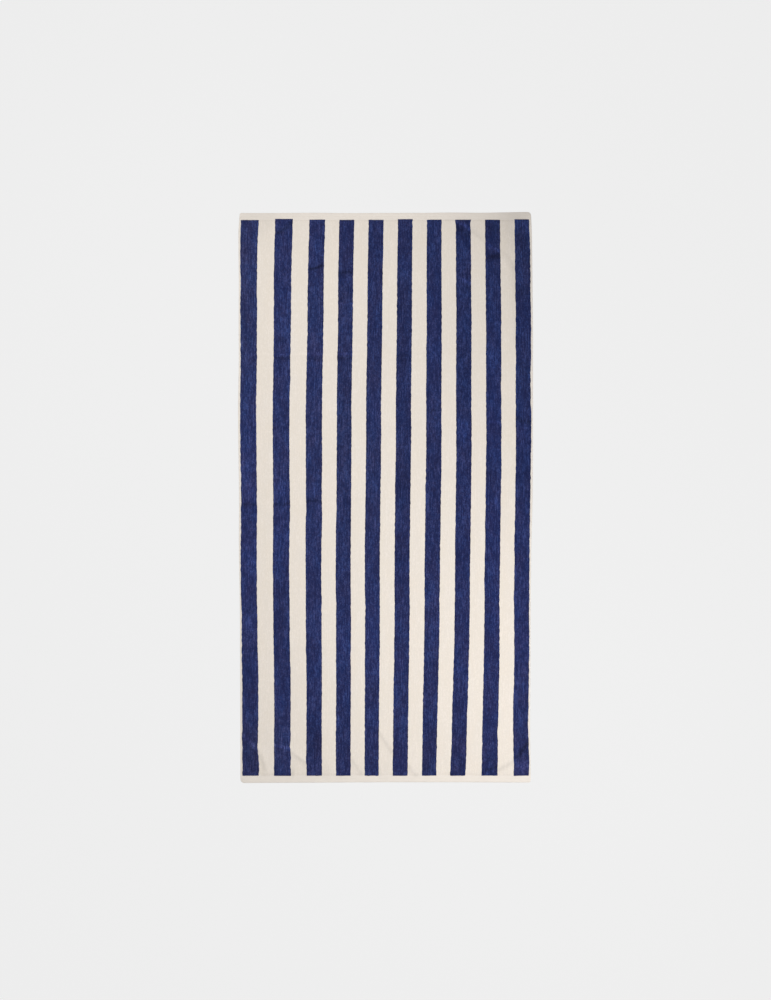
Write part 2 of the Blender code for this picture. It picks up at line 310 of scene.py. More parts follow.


# where the pile's tone and tint change; the tone marks hold painted shade and painted highlight
marks = {
    # painted highlight and painted shade along the creases and folds, where the pile is pressed open or shut:
    # tone added on navy, tone added on cream, reach to either side, and the start, middle and end of the
    # curve
    "creaseLightAndShade": [
        # head end, left to right
        (-0.42, 0, 0.008, (-0.334, 0.809), (-0.31, 0.823), (-0.285, 0.843)),
        (-0.15, 0, 0.004, (-0.334, 0.696), (-0.322, 0.698), (-0.31, 0.7)),
        (-0.55, 0, 0.005, (-0.23, 0.7), (-0.212, 0.704), (-0.193, 0.711)),
        (-0.36, 0, 0.007, (-0.138, 0.687), (-0.124, 0.691), (-0.104, 0.69)),
        (0.22, 0, 0.003, (-0.144, 0.668), (-0.12, 0.669), (-0.098, 0.668)),
        (0.3, 0.012, 0.003, (-0.185, 0.595), (-0.14, 0.593), (-0.098, 0.594)),
        (0.15, 0, 0.003, (0.036, 0.601), (0.058, 0.602), (0.079, 0.6)),
        (0.68, 0, 0.004, (0.226, 0.842), (0.245, 0.832), (0.26, 0.822)),
        (-0.22, 0, 0.008, (0.223, 0.825), (0.24, 0.813), (0.257, 0.8)),
        (0, -0.07, 0.005, (0.262, 0.815), (0.285, 0.799), (0.308, 0.778)),
        (0.5, 0, 0.005, (0.309, 0.782), (0.33, 0.764), (0.354, 0.754)),
        (-0.36, 0, 0.009, (0.314, 0.736), (0.333, 0.738), (0.352, 0.737)),
        (0, -0.05, 0.006, (0.354, 0.755), (0.377, 0.736), (0.392, 0.706)),
        (0, -0.05, 0.008, (0.392, 0.702), (0.396, 0.604), (0.396, 0.481)),
        (0.38, 0, 0.006, (0.423, 0.837), (0.435, 0.823), (0.444, 0.8)),
        (0.38, 0, 0.003, (0.229, 0.675), (0.245, 0.666), (0.261, 0.658)),
        (0.26, 0, 0.003, (0.236, 0.667), (0.248, 0.66), (0.261, 0.653)),
        # press folds and short creases of the middle
        (0.26, 0.018, 0.004, (-0.424, 0.438), (-0.24, 0.44), (-0.064, 0.44)),
        (0.22, 0, 0.004, (-0.148, 0.44), (-0.123, 0.441), (-0.097, 0.44)),
        (-0.26, -0.014, 0.006, (-0.336, 0.427), (-0.22, 0.425), (-0.1, 0.427)),
        (0.15, 0, 0.007, (-0.335, 0.38), (-0.312, 0.381), (-0.29, 0.38)),
        (0.38, 0, 0.004, (0.315, 0.233), (0.334, 0.231), (0.352, 0.23)),
        (-0.34, 0, 0.008, (0.405, 0.24), (0.422, 0.234), (0.441, 0.231)),
        (-0.22, 0, 0.005, (0.134, 0.261), (0.152, 0.268), (0.169, 0.276)),
        (-0.38, 0, 0.006, (-0.436, -0.022), (-0.418, -0.02), (-0.398, -0.021)),
        (-0.3, 0, 0.005, (-0.342, -0.02), (-0.318, -0.021), (-0.294, -0.018)),
        (-0.34, 0, 0.005, (-0.243, -0.013), (-0.22, -0.009), (-0.196, -0.012)),
        (0, 0.018, 0.004, (-0.392, -0.009), (-0.315, -0.01), (-0.24, -0.008)),
        (-0.08, -0.014, 0.004, (-0.092, -0.003), (-0.03, -0.004), (0.03, -0.003)),
        (0.26, 0, 0.003, (-0.148, -0.224), (-0.128, -0.223), (-0.106, -0.224)),
        # foot end, left to right
        (0.6, 0, 0.0045, (-0.436, -0.732), (-0.414, -0.75), (-0.395, -0.773)),
        (0, -0.09, 0.006, (-0.392, -0.773), (-0.38, -0.797), (-0.37, -0.832)),
        (0.68, 0, 0.004, (-0.339, -0.759), (-0.319, -0.764), (-0.293, -0.77)),
        (0, -0.11, 0.005, (-0.29, -0.779), (-0.268, -0.798), (-0.244, -0.813)),
        (0, -0.11, 0.007, (-0.103, -0.806), (-0.09, -0.824), (-0.075, -0.843)),
        (0.38, 0, 0.004, (-0.145, -0.668), (-0.144, -0.683), (-0.145, -0.698)),
        (0, -0.1, 0.006, (-0.017, -0.721), (0, -0.751), (0.019, -0.779)),
        (0, -0.09, 0.006, (0.07, -0.823), (0.082, -0.838), (0.094, -0.851)),
        (0, -0.11, 0.007, (0.346, -0.834), (0.376, -0.819), (0.398, -0.803)),
        (-0.45, 0, 0.007, (0.405, -0.791), (0.419, -0.775), (0.434, -0.755)),
        (-0.34, 0, 0.005, (0.309, -0.834), (0.326, -0.829), (0.343, -0.825)),
    ],
    # soft patches of tone, partly where the nap lies another way and partly painted shade and painted light,
    # with painted shade at the head end's right corner: tone on navy, tone on cream, x, y, and the reach
    # across and along
    "patches": [
        (0, 0.04, -0.447, -0.72, 0.006, 0.2), (-0.22, 0, 0.331, 0.828, 0.025, 0.02),
        (-0.04, -0.1, 0.385, 0.83, 0.055, 0.08), (0, -0.065, 0.394, 0.71, 0.024, 0.14),
        (0, -0.016, -0.37, 0.28, 0.035, 0.65), (0, -0.085, 0.455, 0.872, 0.11, 0.03),
        (0, -0.05, 0.285, 0.83, 0.06, 0.05), (0, -0.075, -0.4, 0.85, 0.09, 0.05),
        (0, 0.052, 0.03, 0.866, 0.19, 0.013), (0, 0.025, 0, 0.68, 0.2, 0.12),
        (-0.34, 0, 0.407, 0.806, 0.008, 0.008), (-0.22, 0, 0.423, 0.632, 0.022, 0.018),
        (-0.22, 0, 0.254, 0.644, 0.01, 0.008), (0.22, 0, 0.444, 0.251, 0.004, 0.02),
        (-0.19, 0, 0.055, 0.429, 0.02, 0.018), (0.19, 0, -0.319, 0.025, 0.02, 0.022),
        (0.19, 0, -0.221, 0.022, 0.02, 0.018), (0.3, 0, -0.206, -0.037, 0.007, 0.016),
        (0, -0.02, -0.089, -0.214, 0.01, 0.01), (0.19, 0, -0.414, -0.395, 0.015, 0.02),
        (0.26, 0, 0.144, -0.303, 0.02, 0.012), (0.3, 0, 0.34, -0.015, 0.006, 0.01),
        (0.34, 0, -0.328, -0.631, 0.012, 0.022), (0, -0.12, -0.285, -0.843, 0.006, 0.014),
        (0.46, 0, 0.42, -0.826, 0.022, 0.016), (0, -0.05, -0.18, -0.835, 0.018, 0.02),
        (0, -0.08, -0.018, -0.84, 0.005, 0.016), (0, -0.05, 0, -0.83, 0.006, 0.03),
        (-0.2, 0, -0.417, 0.483, 0.015, 0.01), (-0.25, 0, -0.316, 0.484, 0.01, 0.008),
        (-0.19, 0, 0.322, -0.8, 0.018, 0.012), (0.38, 0, 0.227, -0.527, 0.007, 0.007),
        (-0.18, 0, -0.415, -0.58, 0.03, 0.26), (0.2, 0, -0.315, -0.75, 0.03, 0.09),
        (-0.12, 0, -0.415, -0.815, 0.03, 0.04), (-0.12, 0, -0.13, -0.74, 0.03, 0.09),
        (-0.12, 0, -0.043, -0.8, 0.03, 0.05), (0.15, 0, 0.045, -0.815, 0.03, 0.035),
        (0.08, 0, 0.32, -0.66, 0.03, 0.1), (0.12, 0, 0.415, -0.44, 0.03, 0.04),
        (-0.12, 0, -0.318, -0.28, 0.03, 0.28), (-0.09, 0, -0.03, 0.78, 0.03, 0.1),
        (-0.12, 0, 0.053, 0.02, 0.03, 0.12), (-0.18, 0, 0.325, 0.075, 0.025, 0.05),
        (0.15, 0, 0.325, -0.07, 0.02, 0.02), (-0.12, 0, 0.423, 0.07, 0.03, 0.09),
        (0.12, 0, 0.06, 0.72, 0.02, 0.02), (0.2, 0, -0.042, -0.4, 0.03, 0.14),
        (0.3, 0, 0.044, -0.51, 0.02, 0.03), (0.13, 0, -0.218, 0.53, 0.03, 0.18),
        (0.13, 0, 0.146, 0.53, 0.03, 0.17), (0.1, 0, 0.33, 0.2, 0.03, 0.4),
        (0.2, 0, -0.036, 0.27, 0.02, 0.06), (0.25, 0, 0.238, 0.205, 0.02, 0.03),
        (0.15, 0, 0.422, 0.205, 0.02, 0.03), (-0.22, 0, -0.42, -0.07, 0.02, 0.04),
        (0.2, 0, -0.42, 0.022, 0.02, 0.025), (-0.22, 0, 0.134, -0.83, 0.02, 0.03),
        (-0.15, 0, 0.224, -0.82, 0.02, 0.04), (-0.2, 0, -0.125, 0.62, 0.02, 0.03),
        (0.2, 0, -0.13, -0.44, 0.02, 0.04), (-0.22, 0, -0.218, -0.76, 0.03, 0.08),
        (-0.2, 0, -0.04, -0.59, 0.02, 0.03), (-0.18, 0, 0.424, 0.39, 0.02, 0.03),
        (-0.18, 0, 0.045, -0.16, 0.02, 0.05), (-0.2, 0, -0.42, -0.345, 0.018, 0.025),
    ],
    # broad patches where the navy has more or less red or blue in it: shares added, then as above
    "tints": [
        (-0.076, 0.02, 0.36, 0.5, 0.24, 0.52), (0.028, 0, -0.15, 0.3, 0.25, 0.4),
        (0.096, -0.024, 0, -0.8, 1.5, 0.1), (-0.036, 0.01, -0.2, -0.45, 0.2, 0.2),
        (-0.064, 0, 0.06, 0.62, 0.05, 0.13), (-0.06, 0.015, 0.15, 0.72, 0.05, 0.13),
        (-0.068, 0, 0.24, 0.34, 0.05, 0.14), (-0.068, 0, 0.42, 0.34, 0.05, 0.12),
        (0.088, 0, 0.05, -0.12, 0.05, 0.11), (-0.048, 0, -0.32, 0.3, 0.05, 0.2),
        (0.048, 0, -0.42, 0.74, 0.05, 0.08), (0, -0.13, -0.43, 0.6, 0.06, 0.38),
        (0, -0.08, -0.13, 0.22, 0.16, 0.42), (0, -0.14, -0.38, -0.76, 0.09, 0.1),
        (0, 0.035, 0.35, 0.1, 0.16, 0.45), (0, 0.035, 0.33, -0.45, 0.14, 0.3),
        (0, -0.06, 0.42, 0.76, 0.06, 0.08), (0, 0.05, -0.32, -0.15, 0.05, 0.14),
        (0, -0.05, -0.22, 0.58, 0.05, 0.1),
    ],
    "curveRuns": 6,
}


def softPatch(x, y, atX, atY, across, along):
    return ridge(np.hypot((x - atX) / across, (y - atY) / along), 1.0)


def tintMark(x, y):
    # what is added to the share of the navy's red, green and blue
    tint = np.zeros((len(x), 3))
    for red, blue, *patch in marks["tints"]:
        tint += np.outer(softPatch(x, y, *patch), (red, 0, blue))
    return tint


def shadeAndNapMark(x, y, colour):
    # what is added to the tone of the pile in that colour: painted highlight and painted shade along creases,
    # and patches of nap and painted shade
    mark = np.zeros_like(x)
    for navy, cream, reach, *line in marks["creaseLightAndShade"]:
        added = navy if colour == "navy" else cream
        if added:
            mark += added * ridge(aside(curveOf(line, marks["curveRuns"]), x, y), reach)
    for navy, cream, *patch in marks["patches"]:
        mark += (navy if colour == "navy" else cream) * softPatch(x, y, *patch)
    return mark


class Signal:
    # what comes out of a node, so that shading reads as sums

    def __init__(self, finish, socket):
        self.finish = finish
        self.socket = socket

    def __add__(self, other):
        return self.finish.maths("ADD", self, other)

    __radd__ = __add__

    def __sub__(self, other):
        return self.finish.maths("SUBTRACT", self, other)

    def __rsub__(self, other):
        return self.finish.maths("SUBTRACT", other, self)

    def __mul__(self, other):
        return self.finish.maths("MULTIPLY", self, other)

    __rmul__ = __mul__


class Finish:
    # a material with its shader, and the nodes that are added to it

    def __init__(self, name, values):
        self.material = bpy.data.materials.new(name)
        self.material.use_nodes = True
        self.nodes = self.material.node_tree.nodes
        self.links = self.material.node_tree.links
        self.shader = self.nodes["Principled BSDF"]
        for socket, value in values.items():
            self.shader.inputs[socket].default_value = value

    def add(self, kind, settings, sockets, output=0):
        node = self.nodes.new("ShaderNode" + kind)
        for name, value in settings.items():
            setattr(node, name, value)
        for name, value in sockets.items():
            self.plug(node.inputs[name], value)
        return Signal(self, node.outputs[output])

    def plug(self, socket, value):
        if isinstance(value, Signal):
            self.links.new(value.socket, socket)
        else:
            socket.default_value = value

    def maths(self, operation, *values):
        return self.add("Math", {"operation": operation}, dict(enumerate(values)))

    def place(self):
        return self.add("TexCoord", {}, {}, "Object")

    def mark(self, name, output):
        # what was stored on the points of a piece
        return self.add("Attribute", {"attribute_name": name}, {}, output)

    def scaled(self, across, along):
        # the place, counted in steps of that size
        return self.add("Mapping", {}, {"Vector": self.place(), "Scale": (1 / across, 1 / along, 1 / across)})

    def patches(self, size, detail=1.0, roughness=0.5):
        # noise about 0, in patches of about that size across and along
        sockets = {"Vector": self.scaled(*size), "Scale": 1.0, "Detail": detail, "Roughness": roughness}
        return self.add("TexNoise", {}, sockets) - 0.5

    def mix(self, share, first, second):
        return self.add("Mix", {"data_type": "RGBA"}, {0: share, 6: first, 7: second}, 2)

    def tinted(self, colour, tint):
        settings = {"data_type": "RGBA", "blend_type": "MULTIPLY"}
        return self.add("Mix", settings, {0: 1.0, 6: colour, 7: tint}, 2)

    def cover(self, colour, tone):
        toned = self.add("VectorMath", {"operation": "SCALE"}, {0: colour, 3: tone})
        self.plug(self.shader.inputs["Base Color"], toned)

    def emboss(self, height, depth):
        bump = self.add("Bump", {}, {"Height": height, "Distance": depth, "Strength": 1.0})
        self.plug(self.shader.inputs["Normal"], bump)


pile = {
    # sizes of its patterns, across and along
    "tufts": (0.0034, 0.0044),
    "streaks": (0.0036, 0.0115),
    "longStreaks": (0.0036, 0.050),
    "patches": (0.015, 0.026),
    "shades": (0.070, 0.160),
    "nap": (0.0008, 0.0010),
    "leans": (0.034, 0.080),
    "flecks": (0.0045, 0.008),
    "lean": 1.7,              # how strongly the leans and the flecks change the tint
    "fleck": 1.6,
    "napRoughness": 0.7,
    "napRelief": 0.8,
}

velour = {
    # tufts run from the dark colour to the light one, and lean to either tint
    "navy": dict(
        dark=(0.0112, 0.0165, 0.0740, 1), light=(0.0450, 0.0610, 0.1950, 1),
        tints=((1.20, 1.00, 0.93, 1), (0.80, 1.00, 1.07, 1)),
        streaks=1.60, tufts=1.33, longStreaks=1.3, patches=0.80, shades=0.62, nap=1.35,
        sheen=0.05, sheenTint=(0.55, 0.62, 1.0, 1), bump=0.0007,
    ),
    "cream": dict(
        dark=(0.7950, 0.7250, 0.6447, 1), light=(0.8600, 0.7850, 0.7097, 1),
        tints=((1.005, 1.00, 0.99, 1), (0.995, 1.00, 1.01, 1)),
        streaks=1.8, tufts=1.9, longStreaks=1.2, patches=0.6, shades=0.4, nap=1.0,
        sheen=0.05, sheenTint=(1.0, 0.97, 0.92, 1), bump=0.0004,
    ),
}


def velourFinish(name):
    look = velour[name]
    finish = Finish("velour_" + name, {
        "Roughness": 0.95,
        "Specular IOR Level": 0.15,
        "Sheen Weight": look["sheen"],
        "Sheen Roughness": 0.45,
        "Sheen Tint": look["sheenTint"],
    })
    tufts = finish.patches(pile["tufts"], 2.0)
    nap = finish.patches(pile["nap"], 2.0, pile["napRoughness"])
    share = finish.patches(pile["streaks"], 2.0) * look["streaks"] + tufts * look["tufts"]
    share = share + finish.patches(pile["longStreaks"]) * look["longStreaks"]
    share = share + finish.patches(pile["patches"], 2.0) * look["patches"]
    share = share + finish.patches(pile["shades"]) * look["shades"] + 0.5
    share = finish.maths("MAXIMUM", share + nap * look["nap"], 0.0)
    colour = finish.mix(share * share, look["dark"], look["light"])
    lean = finish.patches(pile["leans"]) * pile["lean"] + finish.patches(pile["flecks"]) * pile["fleck"] + 0.5
    colour = finish.tinted(colour, finish.mix(lean, *look["tints"]))
    tint = finish.add("VectorMath", {"operation": "ADD"}, {0: (1, 1, 1), 1: finish.mark("tint", "Vector")})
    # the stored tone darkens and lightens the pile with painted shade and painted highlight
    finish.cover(finish.tinted(colour, tint), 1 + finish.mark("tone", "Fac"))
    finish.emboss(tufts + nap * pile["napRelief"], look["bump"])
    return finish.material


hemLook = {
    "colour": (0.871, 0.802, 0.728),
    "weave": 0.0009,          # distance between the yarns
    "weaveTone": 0.035,
    "depth": 0.00018,
    "slubSize": (0.009, 0.0012),
    "slubs": 0.06,
    "softSize": (0.03, 0.03),
    "soft": 0.04,
}


def plainWeave(finish, pitch):
    # yarns that go over and under each other, from -1 to 1
    turns = [finish.add("SeparateXYZ", {}, {0: finish.place()}, axis) * (math.pi / pitch) for axis in "XY"]
    return finish.maths("SINE", turns[0]) * finish.maths("SINE", turns[1])


def hemFinish():
    finish = Finish("plain_woven_hem", {"Roughness": 0.9, "Specular IOR Level": 0.2})
    weave = plainWeave(finish, hemLook["weave"])
    slubs = finish.patches(hemLook["slubSize"], 2.0)
    soft = finish.patches(hemLook["softSize"])
    # the stored tone carries the cream marks, painted shade among them, onto the hems
    tone = 1 + finish.mark("tone", "Fac") + weave * hemLook["weaveTone"]
    finish.cover(hemLook["colour"], tone + slubs * hemLook["slubs"] + soft * hemLook["soft"])
    finish.emboss(weave + slubs, hemLook["depth"])
    return finish.material


loopLook = {
    "navy": (0.030, 0.037, 0.115),
    "cream": (0.780, 0.715, 0.630),
    "size": (0.0026, 0.00325),
    "randomness": 0.7,
    "depth": 0.0009,
    "crown": 1.12,            # tone on top of a loop, and how much of it is lost beside the loop to painted shade
    "hollowShade": 0.45,
    "patchSize": (0.02, 0.03),
    "patches": 0.25,
}


def loopFinish(name):
    # the back, which is left as uncut loops
    finish = Finish("terry_loops_" + name, {
        "Roughness": 0.95,
        "Specular IOR Level": 0.15,
        "Sheen Weight": 0.05,
    })
    sockets = {"Vector": finish.scaled(*loopLook["size"]), "Scale": 1.0, "Randomness": loopLook["randomness"]}
    loops = finish.add("TexVoronoi", {"feature": "F1"}, sockets, "Distance")
    patches = finish.patches(loopLook["patchSize"], 2.0)
    # darker away from each loop's middle: painted shade between the loops
    tone = loopLook["crown"] - loops * loopLook["hollowShade"] + patches * loopLook["patches"]
    finish.cover(loopLook[name], tone)
    finish.emboss(1 - loops, loopLook["depth"])
    return finish.material


plainLooks = {
    "ground_weave": dict(
        colour=(0.60, 0.55, 0.48), roughness=0.9, shine=0.2, size=(0.004, 0.0012), detail=2.0, share=0.2),
    "sewing_thread": dict(
        colour=(0.79, 0.73, 0.64), roughness=0.6, shine=0.4, size=(0.0006, 0.0006), detail=1.0, share=0.25),
}


def plainFinish(name):
    # one colour, with slubs or twists that vary its tone by a share
    look = plainLooks[name]
    finish = Finish(name, {"Roughness": look["roughness"], "Specular IOR Level": look["shine"]})
    finish.cover(look["colour"], 1 + finish.patches(look["size"], look["detail"]) * look["share"])
    return finish.material


finishes = {
    "navy": velourFinish("navy"),
    "cream": velourFinish("cream"),
    "hem": hemFinish(),
    "navyLoops": loopFinish("navy"),
    "creamLoops": loopFinish("cream"),
    "ground": plainFinish("ground_weave"),
    "thread": plainFinish("sewing_thread"),
}
print("finishes made")


# the stripes of the face
stripes = {
    "places": np.array([-0.84, -0.28, 0.28, 0.84]),
    # each navy stripe's difference in tone, lighter towards the left, and its left and right edge at those
    # places
    "navy": [
        (0.17, (-0.438, -0.39), (-0.442, -0.394), (-0.445, -0.397), (-0.444, -0.392)),
        (0.05, (-0.341, -0.291), (-0.344, -0.295), (-0.345, -0.295), (-0.339, -0.286)),
        (0.05, (-0.242, -0.196), (-0.244, -0.197), (-0.244, -0.195), (-0.234, -0.187)),
        (0.01, (-0.152, -0.108), (-0.152, -0.107), (-0.149, -0.105), (-0.142, -0.097)),
        (0.01, (-0.064, -0.022), (-0.063, -0.018), (-0.059, -0.014), (-0.052, -0.007)),
        (-0.06, (0.022, 0.067), (0.028, 0.073), (0.032, 0.078), (0.038, 0.082)),
        (-0.06, (0.112, 0.155), (0.12, 0.166), (0.125, 0.171), (0.127, 0.171)),
        (-0.09, (0.201, 0.246), (0.213, 0.258), (0.217, 0.263), (0.216, 0.261)),
        (-0.07, (0.295, 0.343), (0.304, 0.35), (0.309, 0.355), (0.306, 0.351)),
        (-0.06, (0.392, 0.438), (0.395, 0.44), (0.4, 0.446), (0.396, 0.442)),
    ],
    # the weft isn't quite straight, so all edges sway together: place, and shift at the left, the
    # middle and the right
    "sway": [
        (-0.842, 0.0006, 0.0002, -0.001), (-0.76, -0.0012, 0.0006, 0.0003), (-0.7, 0.0002, 0.0003, -0.0003),
        (-0.56, 0.0012, 0.0006, 0.0011), (-0.4, -0.0002, 0.0009, 0.0008), (-0.19, -0.0004, -0.0008, -0.0008),
        (0.04, 0.0013, 0.0002, -0.0003), (0.175, 0.0002, 0.0009, -0.0001), (0.3, 0, -0.0003, -0.0009),
        (0.44, 0.0014, 0, -0.0006), (0.54, 0.0004, 0, 0.0005), (0.68, -0.0011, -0.0009, 0.0006),
        (0.77, -0.0005, -0.0002, -0.0004), (0.842, 0.0014, 0.0004, -0.0011),
    ],
    # short pulls of single edges: stripe, its left (0) or right (1) edge, place, half length, shift
    "pulls": [
        (0, 0, 0.653, 0.05, 0.002), (0, 0, 0.224, 0.02, -0.0014), (0, 0, -0.365, 0.045, 0.0018),
        (0, 0, -0.763, 0.02, 0.002), (0, 1, -0.046, 0.025, 0.0018), (0, 1, -0.76, 0.012, -0.0017),
        (0, 1, -0.818, 0.025, 0.0023), (1, 0, -0.837, 0.02, -0.0015), (1, 1, 0.36, 0.05, 0.001),
        (1, 1, -0.027, 0.07, 0.0021), (1, 1, -0.763, 0.012, -0.0014), (2, 0, 0.513, 0.02, 0.0014),
        (2, 0, -0.034, 0.03, 0.0016), (2, 0, -0.395, 0.025, -0.0014), (2, 0, -0.806, 0.02, -0.0018),
        (2, 1, -0.058, 0.03, 0.0019), (2, 1, -0.315, 0.015, 0.0014), (3, 0, 0.432, 0.012, -0.0015),
        (3, 0, -0.04, 0.03, 0.0013), (3, 0, -0.335, 0.03, 0.0013), (3, 0, -0.575, 0.015, 0.0013),
        (3, 1, -0.493, 0.02, -0.0013), (4, 0, -0.34, 0.025, 0.0016), (5, 0, 0.334, 0.012, 0.0013),
        (5, 0, 0.034, 0.02, -0.0016), (5, 1, -0.335, 0.02, 0.0015), (6, 1, -0.309, 0.02, -0.0017),
        (7, 0, 0.573, 0.02, 0.0013), (7, 0, -0.144, 0.015, -0.0014), (7, 0, -0.81, 0.04, -0.0018),
        (7, 1, 0.83, 0.015, -0.0015), (7, 1, -0.62, 0.015, 0.0013), (8, 0, -0.26, 0.02, -0.0013),
        (8, 1, 0.347, 0.025, -0.0015), (8, 1, 0.163, 0.025, -0.0015), (8, 1, -0.31, 0.07, -0.0017),
        (8, 1, -0.72, 0.025, -0.0018), (9, 0, 0.83, 0.012, 0.0016), (9, 0, -0.316, 0.06, -0.0016),
        (9, 0, -0.64, 0.1, -0.0015), (9, 0, -0.825, 0.025, 0.002), (9, 1, 0.82, 0.02, -0.0018),
        (9, 1, 0.63, 0.03, -0.0017), (9, 1, 0.34, 0.05, -0.0018), (9, 1, -0.37, 0.05, -0.0018),
        (9, 1, -0.63, 0.12, -0.0019), (9, 1, -0.815, 0.035, 0.0024), (1, 0, -0.04, 0.012, 0.0012),
        (2, 0, -0.469, 0.012, -0.0012), (6, 0, 0.028, 0.01, -0.0012), (7, 1, -0.837, 0.01, -0.0014),
        (9, 1, 0.046, 0.01, -0.0012), (2, 1, -0.119, 0.01, 0.0012), (9, 1, 0.85, 0.01, -0.0028),
        (7, 0, 0.848, 0.01, -0.0018), (0, 1, 0.842, 0.02, 0.0011), (0, 0, -0.844, 0.012, -0.0014),
        (1, 1, -0.824, 0.006, -0.0016), (7, 0, -0.848, 0.014, -0.0022), (7, 1, -0.852, 0.008, -0.0018),
        (9, 0, -0.85, 0.008, 0.0015),
    ],
    "spread": 0.0005,         # how far the navy pile leans over the cream at each edge
    "wobble": 0.0008,         # wander of one edge alone; a size is that of its patches of noise
    "wobbleSize": (1.0, 0.060),
    "ragged": 0.0012,         # unevenness of the last row of tufts, along the sides and the ends
    "raggedSize": (1.0, 0.011),
    "raggedEndSize": (0.008, 1.0),
    "endReach": 0.020,        # how far in from an end its raggedness is felt
    "footEnd": -0.8521,
    "headEnd": 0.8508,
    "longer": {0: -0.0006, 1: 0.0025, 2: 0.0006, 5: 0.0018, 9: 0.0015},        # at the head end
    "cell": 0.0032,
    "sideFringe": (0.0, 0.0003, 0.0009, 0.0022),
    "endFringe": (0.0, 0.0004, 0.0012, 0.0026, 0.0050),
    "sideWall": 0.80,         # height of the upright edge, as a share of the pile's
    "sideRound": 0.0010,
    "endWall": {"navy": 0.80, "cream": 0.20},
    "footRound": {"navy": 0.0016, "cream": 0.0100},
    "headRound": {"navy": 0.0016, "cream": 0.0045},
    "clumps": 0.00010,
    "clumpSize": (0.007, 0.013),
    "edgeSeed": 10.0,
    "seed": {"navy": 1.0, "cream": 31.0},
    "runs": 6,
}


def swayAt(x, y):
    places, *columns = np.array(stripes["sway"]).T
    left, middle, right = (smoothThrough(places, shifts, y) for shifts in columns)
    share = x / (outline["width"] / 2)
    return np.where(share < 0, middle - share * (left - middle), middle + share * (right - middle))


def stripeEdge(stripe, side, y):
    # x of one edge of a navy stripe: side 0 is its left one, 1 its right one
    edges = [pair[side] for pair in stripes["navy"][stripe][1:]]
    x = smoothThrough(stripes["places"], np.array(edges), y)
    seed = stripes["edgeSeed"] + 2 * stripe + side
    slow = stripes["wobble"] * unevenness(x, y, stripes["wobbleSize"], seed)
    fine = stripes["ragged"] * unevenness(x, y, stripes["raggedSize"], seed)
    x = x + swayAt(x, y) + slow + fine
    for pulled, edge, place, reach, shift in stripes["pulls"]:
        if (pulled, edge) == (stripe, side):
            x = x + shift * ridge(y - place, reach)
    return x + stripes["spread"] * (2 * side - 1)


def rounded(depth, radius, wall):
    # share of the full height at a depth inside a rounded edge
    inside = np.clip(1 - depth / radius, 0, 1)
    return wall + (1 - wall) * np.sqrt(1 - inside**2)


def eased(depth, reach, wall):
    # the same for an edge that slopes down softly
    inside = np.clip(depth / reach, 0, 1)
    return wall + (1 - wall) * inside**2 * (3 - 2 * inside)


def betweenEdges(left, right, y, step, fringe):
    # x across from edge to edge, each given by its stripe and side, and the depth inside them
    width = stripeEdge(*right, 0.0) - stripeEdge(*left, 0.0)
    across = stations(0, width, step, fringe)[None, :]
    leftAt, rightAt = stripeEdge(*left, y), stripeEdge(*right, y)
    return leftAt + (rightAt - leftAt) * across / width, np.minimum(across, width - across)


def closedAtRoot(x, y, z, root):
    # rings of points along the outside of a pile, which close flat at its root
    y = np.broadcast_to(y, x.shape)
    outside = np.stack([x, y, z], axis=-1)
    inside = np.stack([x, y, root], axis=-1)
    return np.concatenate([inside[:, :1], outside, inside[:, -1:]], axis=1)


def pileStrip(colour, left, right, head, seed):
    foot = stripes["footEnd"]
    y = stations(foot, head, stripes["cell"], stripes["endFringe"])[:, None]
    x, depth = betweenEdges(left, right, y, stripes["cell"], stripes["sideFringe"])
    share = rounded(depth, stripes["sideRound"], stripes["sideWall"])
    share = share * eased(y - foot, stripes["footRound"][colour], stripes["endWall"][colour])
    share = share * eased(head - y, stripes["headRound"][colour], stripes["endWall"][colour])
    nearEnd = np.clip(1 - np.minimum(y - foot, head - y) / stripes["endReach"], 0, 1)
    y = y + stripes["ragged"] * unevenness(x, y, stripes["raggedEndSize"], seed) * nearEnd
    root = layers["pileRoot"] + groundRise(x, y)
    clumps = stripes["clumps"] * unevenness(x, y, stripes["clumpSize"], seed)
    face = layers["face"] + clothRise(x, y) + clumps
    return closedAtRoot(x, y, np.maximum(root + (face - root) * share, layers["thinnest"]), root)


def pilePiece(colour, number, left, right, head, tone=0.0):
    strip = pileStrip(colour, left, right, head, stripes["seed"][colour] + number)
    return clothPiece(
        f"{colour}Stripe{number + 1}", [(strip, 0)], [finishes[colour]], stripes["runs"],
        colour=colour, tone=tone, hiddenLast=True)


def faceStripes():
    pieces = []
    count = len(stripes["navy"])
    for stripe in range(count):
        head = stripes["headEnd"] + stripes["longer"].get(stripe, 0)
        piece = pilePiece("navy", stripe, (stripe, 0), (stripe, 1), head, stripes["navy"][stripe][0])
        pieces.append(piece)
    for stripe in range(count - 1):
        piece = pilePiece("cream", stripe, (stripe, 1), (stripe + 1, 0), stripes["headEnd"])
        pieces.append(piece)
    return pieces


face = faceStripes()
print("face:", len(face), "stripes of pile")


# the ground cloth, which carries the pile and the loops
ground = {
    "sideInset": 0.0040,
    "endInset": 0.0235,
    "step": 0.0075,
    "runs": 1,
}


def groundSheet():
    half = outline["length"] / 2 - ground["endInset"]
    y = np.linspace(-half, half, round(2 * half / ground["step"]))[:, None]
    left, right = sideEdges(y)
    left = left + ground["sideInset"]
    right = right - ground["sideInset"]
    x = left + (right - left) * np.linspace(0, 1, round(outline["width"] / ground["step"]))[None, :]
    lift = groundRise(x, y)
    y = np.broadcast_to(y, x.shape)
    top = np.stack([x, y, layers["groundTop"] + lift], axis=-1)
    under = np.stack([x, y, layers["groundUnder"] + lift], axis=-1)
    return np.concatenate([top, under[:, ::-1]], axis=1)


groundCloth = clothPiece("groundCloth", [(groundSheet(), 0)], [finishes["ground"]], ground["runs"])
print("ground cloth laid")


